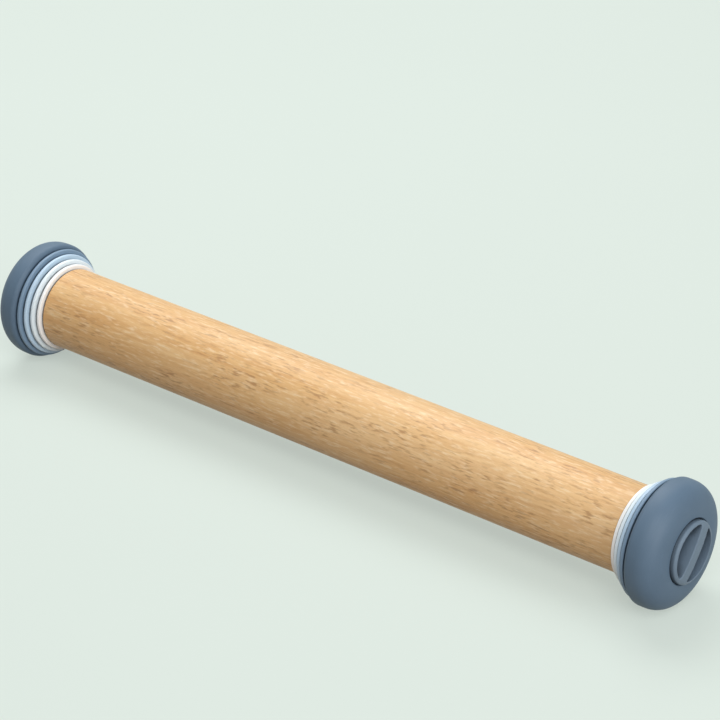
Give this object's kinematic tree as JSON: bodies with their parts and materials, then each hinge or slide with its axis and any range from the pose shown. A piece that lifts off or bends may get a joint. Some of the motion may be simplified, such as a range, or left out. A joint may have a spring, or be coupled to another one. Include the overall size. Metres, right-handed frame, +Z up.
{
  "type": "rolling pin",
  "caption": "Handleless beech rolling pin with graded stepped discs and a domed screw-on end at each side, which set the thickness that the dough is rolled to.",
  "frame": {"origin": "middle of the barrel's axis, halfway along the pin", "axes": "+X along the barrel towards the right end, +Z up with the pin lying on its end discs"},
  "size_m": [0.4344, 0.0638, 0.0638],
  "materials": {
    "beech": "fine sanded, light oil",
    "brass": "turned",
    "gauge_plastic_1": "satin moulded",
    "gauge_plastic_2": "satin moulded",
    "gauge_plastic_3": "satin moulded",
    "gauge_plastic_4": "satin moulded",
    "slate_plastic": "soft matte moulded",
    "knob_plastic": "soft matte moulded",
    "nylon": "moulded"
  },
  "bodies": {
    "barrel": {"barrel": "beech", "right_thread_insert": "brass", "left_thread_insert": "brass"},
    "right_gauge_disc_1": {"right_gauge_disc_1": "gauge_plastic_1"},
    "right_gauge_disc_2": {"right_gauge_disc_2": "gauge_plastic_2"},
    "right_gauge_disc_3": {"right_gauge_disc_3": "gauge_plastic_3"},
    "right_gauge_disc_4": {"right_gauge_disc_4": "gauge_plastic_4"},
    "right_end_disc": {"right_end_disc": "slate_plastic"},
    "right_knob": {"right_knob": "knob_plastic", "right_knob_screw": "nylon"},
    "left_gauge_disc_1": {"left_gauge_disc_1": "gauge_plastic_1"},
    "left_gauge_disc_2": {"left_gauge_disc_2": "gauge_plastic_2"},
    "left_gauge_disc_3": {"left_gauge_disc_3": "gauge_plastic_3"},
    "left_gauge_disc_4": {"left_gauge_disc_4": "gauge_plastic_4"},
    "left_end_disc": {"left_end_disc": "slate_plastic"},
    "left_knob": {"left_knob": "knob_plastic", "left_knob_screw": "nylon"}
  },
  "joints": [
    {"name": "right_gauge_disc_1_slide", "type": "slide", "parent": "barrel", "child": "right_gauge_disc_1", "axis": [1, 0, 0], "range_m": [0, 0.0037]},
    {"name": "right_gauge_disc_2_slide", "type": "slide", "parent": "barrel", "child": "right_gauge_disc_2", "axis": [1, 0, 0], "range_m": [0, 0.0073]},
    {"name": "right_gauge_disc_3_slide", "type": "slide", "parent": "barrel", "child": "right_gauge_disc_3", "axis": [1, 0, 0], "range_m": [0, 0.0109]},
    {"name": "right_gauge_disc_4_slide", "type": "slide", "parent": "barrel", "child": "right_gauge_disc_4", "axis": [1, 0, 0], "range_m": [0, 0.0145]},
    {"name": "right_end_disc_slide", "type": "slide", "parent": "barrel", "child": "right_end_disc", "axis": [1, 0, 0], "range_m": [0, 0.018]},
    {"name": "right_knob_turn", "type": "hinge", "parent": "right_end_disc", "child": "right_knob", "pos_m": [0.185, 0, 0], "axis": [1, 0, 0], "range_deg": [0, 2172]},
    {"name": "left_gauge_disc_1_slide", "type": "slide", "parent": "barrel", "child": "left_gauge_disc_1", "axis": [-1, 0, 0], "range_m": [0, 0.0037]},
    {"name": "left_gauge_disc_2_slide", "type": "slide", "parent": "barrel", "child": "left_gauge_disc_2", "axis": [-1, 0, 0], "range_m": [0, 0.0073]},
    {"name": "left_gauge_disc_3_slide", "type": "slide", "parent": "barrel", "child": "left_gauge_disc_3", "axis": [-1, 0, 0], "range_m": [0, 0.0109]},
    {"name": "left_gauge_disc_4_slide", "type": "slide", "parent": "barrel", "child": "left_gauge_disc_4", "axis": [-1, 0, 0], "range_m": [0, 0.0145]},
    {"name": "left_end_disc_slide", "type": "slide", "parent": "barrel", "child": "left_end_disc", "axis": [-1, 0, 0], "range_m": [0, 0.018]},
    {"name": "left_knob_turn", "type": "hinge", "parent": "left_end_disc", "child": "left_knob", "pos_m": [-0.185, 0, 0], "axis": [-1, 0, 0], "range_deg": [0, 2172]}
  ],
  "couplings": [
    {"joint": "right_gauge_disc_1_slide", "follows": "right_end_disc_slide", "ratio": 0.2},
    {"joint": "right_gauge_disc_2_slide", "follows": "right_end_disc_slide", "ratio": 0.4},
    {"joint": "right_gauge_disc_3_slide", "follows": "right_end_disc_slide", "ratio": 0.6},
    {"joint": "right_gauge_disc_4_slide", "follows": "right_end_disc_slide", "ratio": 0.8},
    {"joint": "right_knob_turn", "follows": "right_end_disc_slide", "rad_per_m": 2094.4},
    {"joint": "left_gauge_disc_1_slide", "follows": "left_end_disc_slide", "ratio": 0.2},
    {"joint": "left_gauge_disc_2_slide", "follows": "left_end_disc_slide", "ratio": 0.4},
    {"joint": "left_gauge_disc_3_slide", "follows": "left_end_disc_slide", "ratio": 0.6},
    {"joint": "left_gauge_disc_4_slide", "follows": "left_end_disc_slide", "ratio": 0.8},
    {"joint": "left_knob_turn", "follows": "left_end_disc_slide", "rad_per_m": 2094.4}
  ]
}
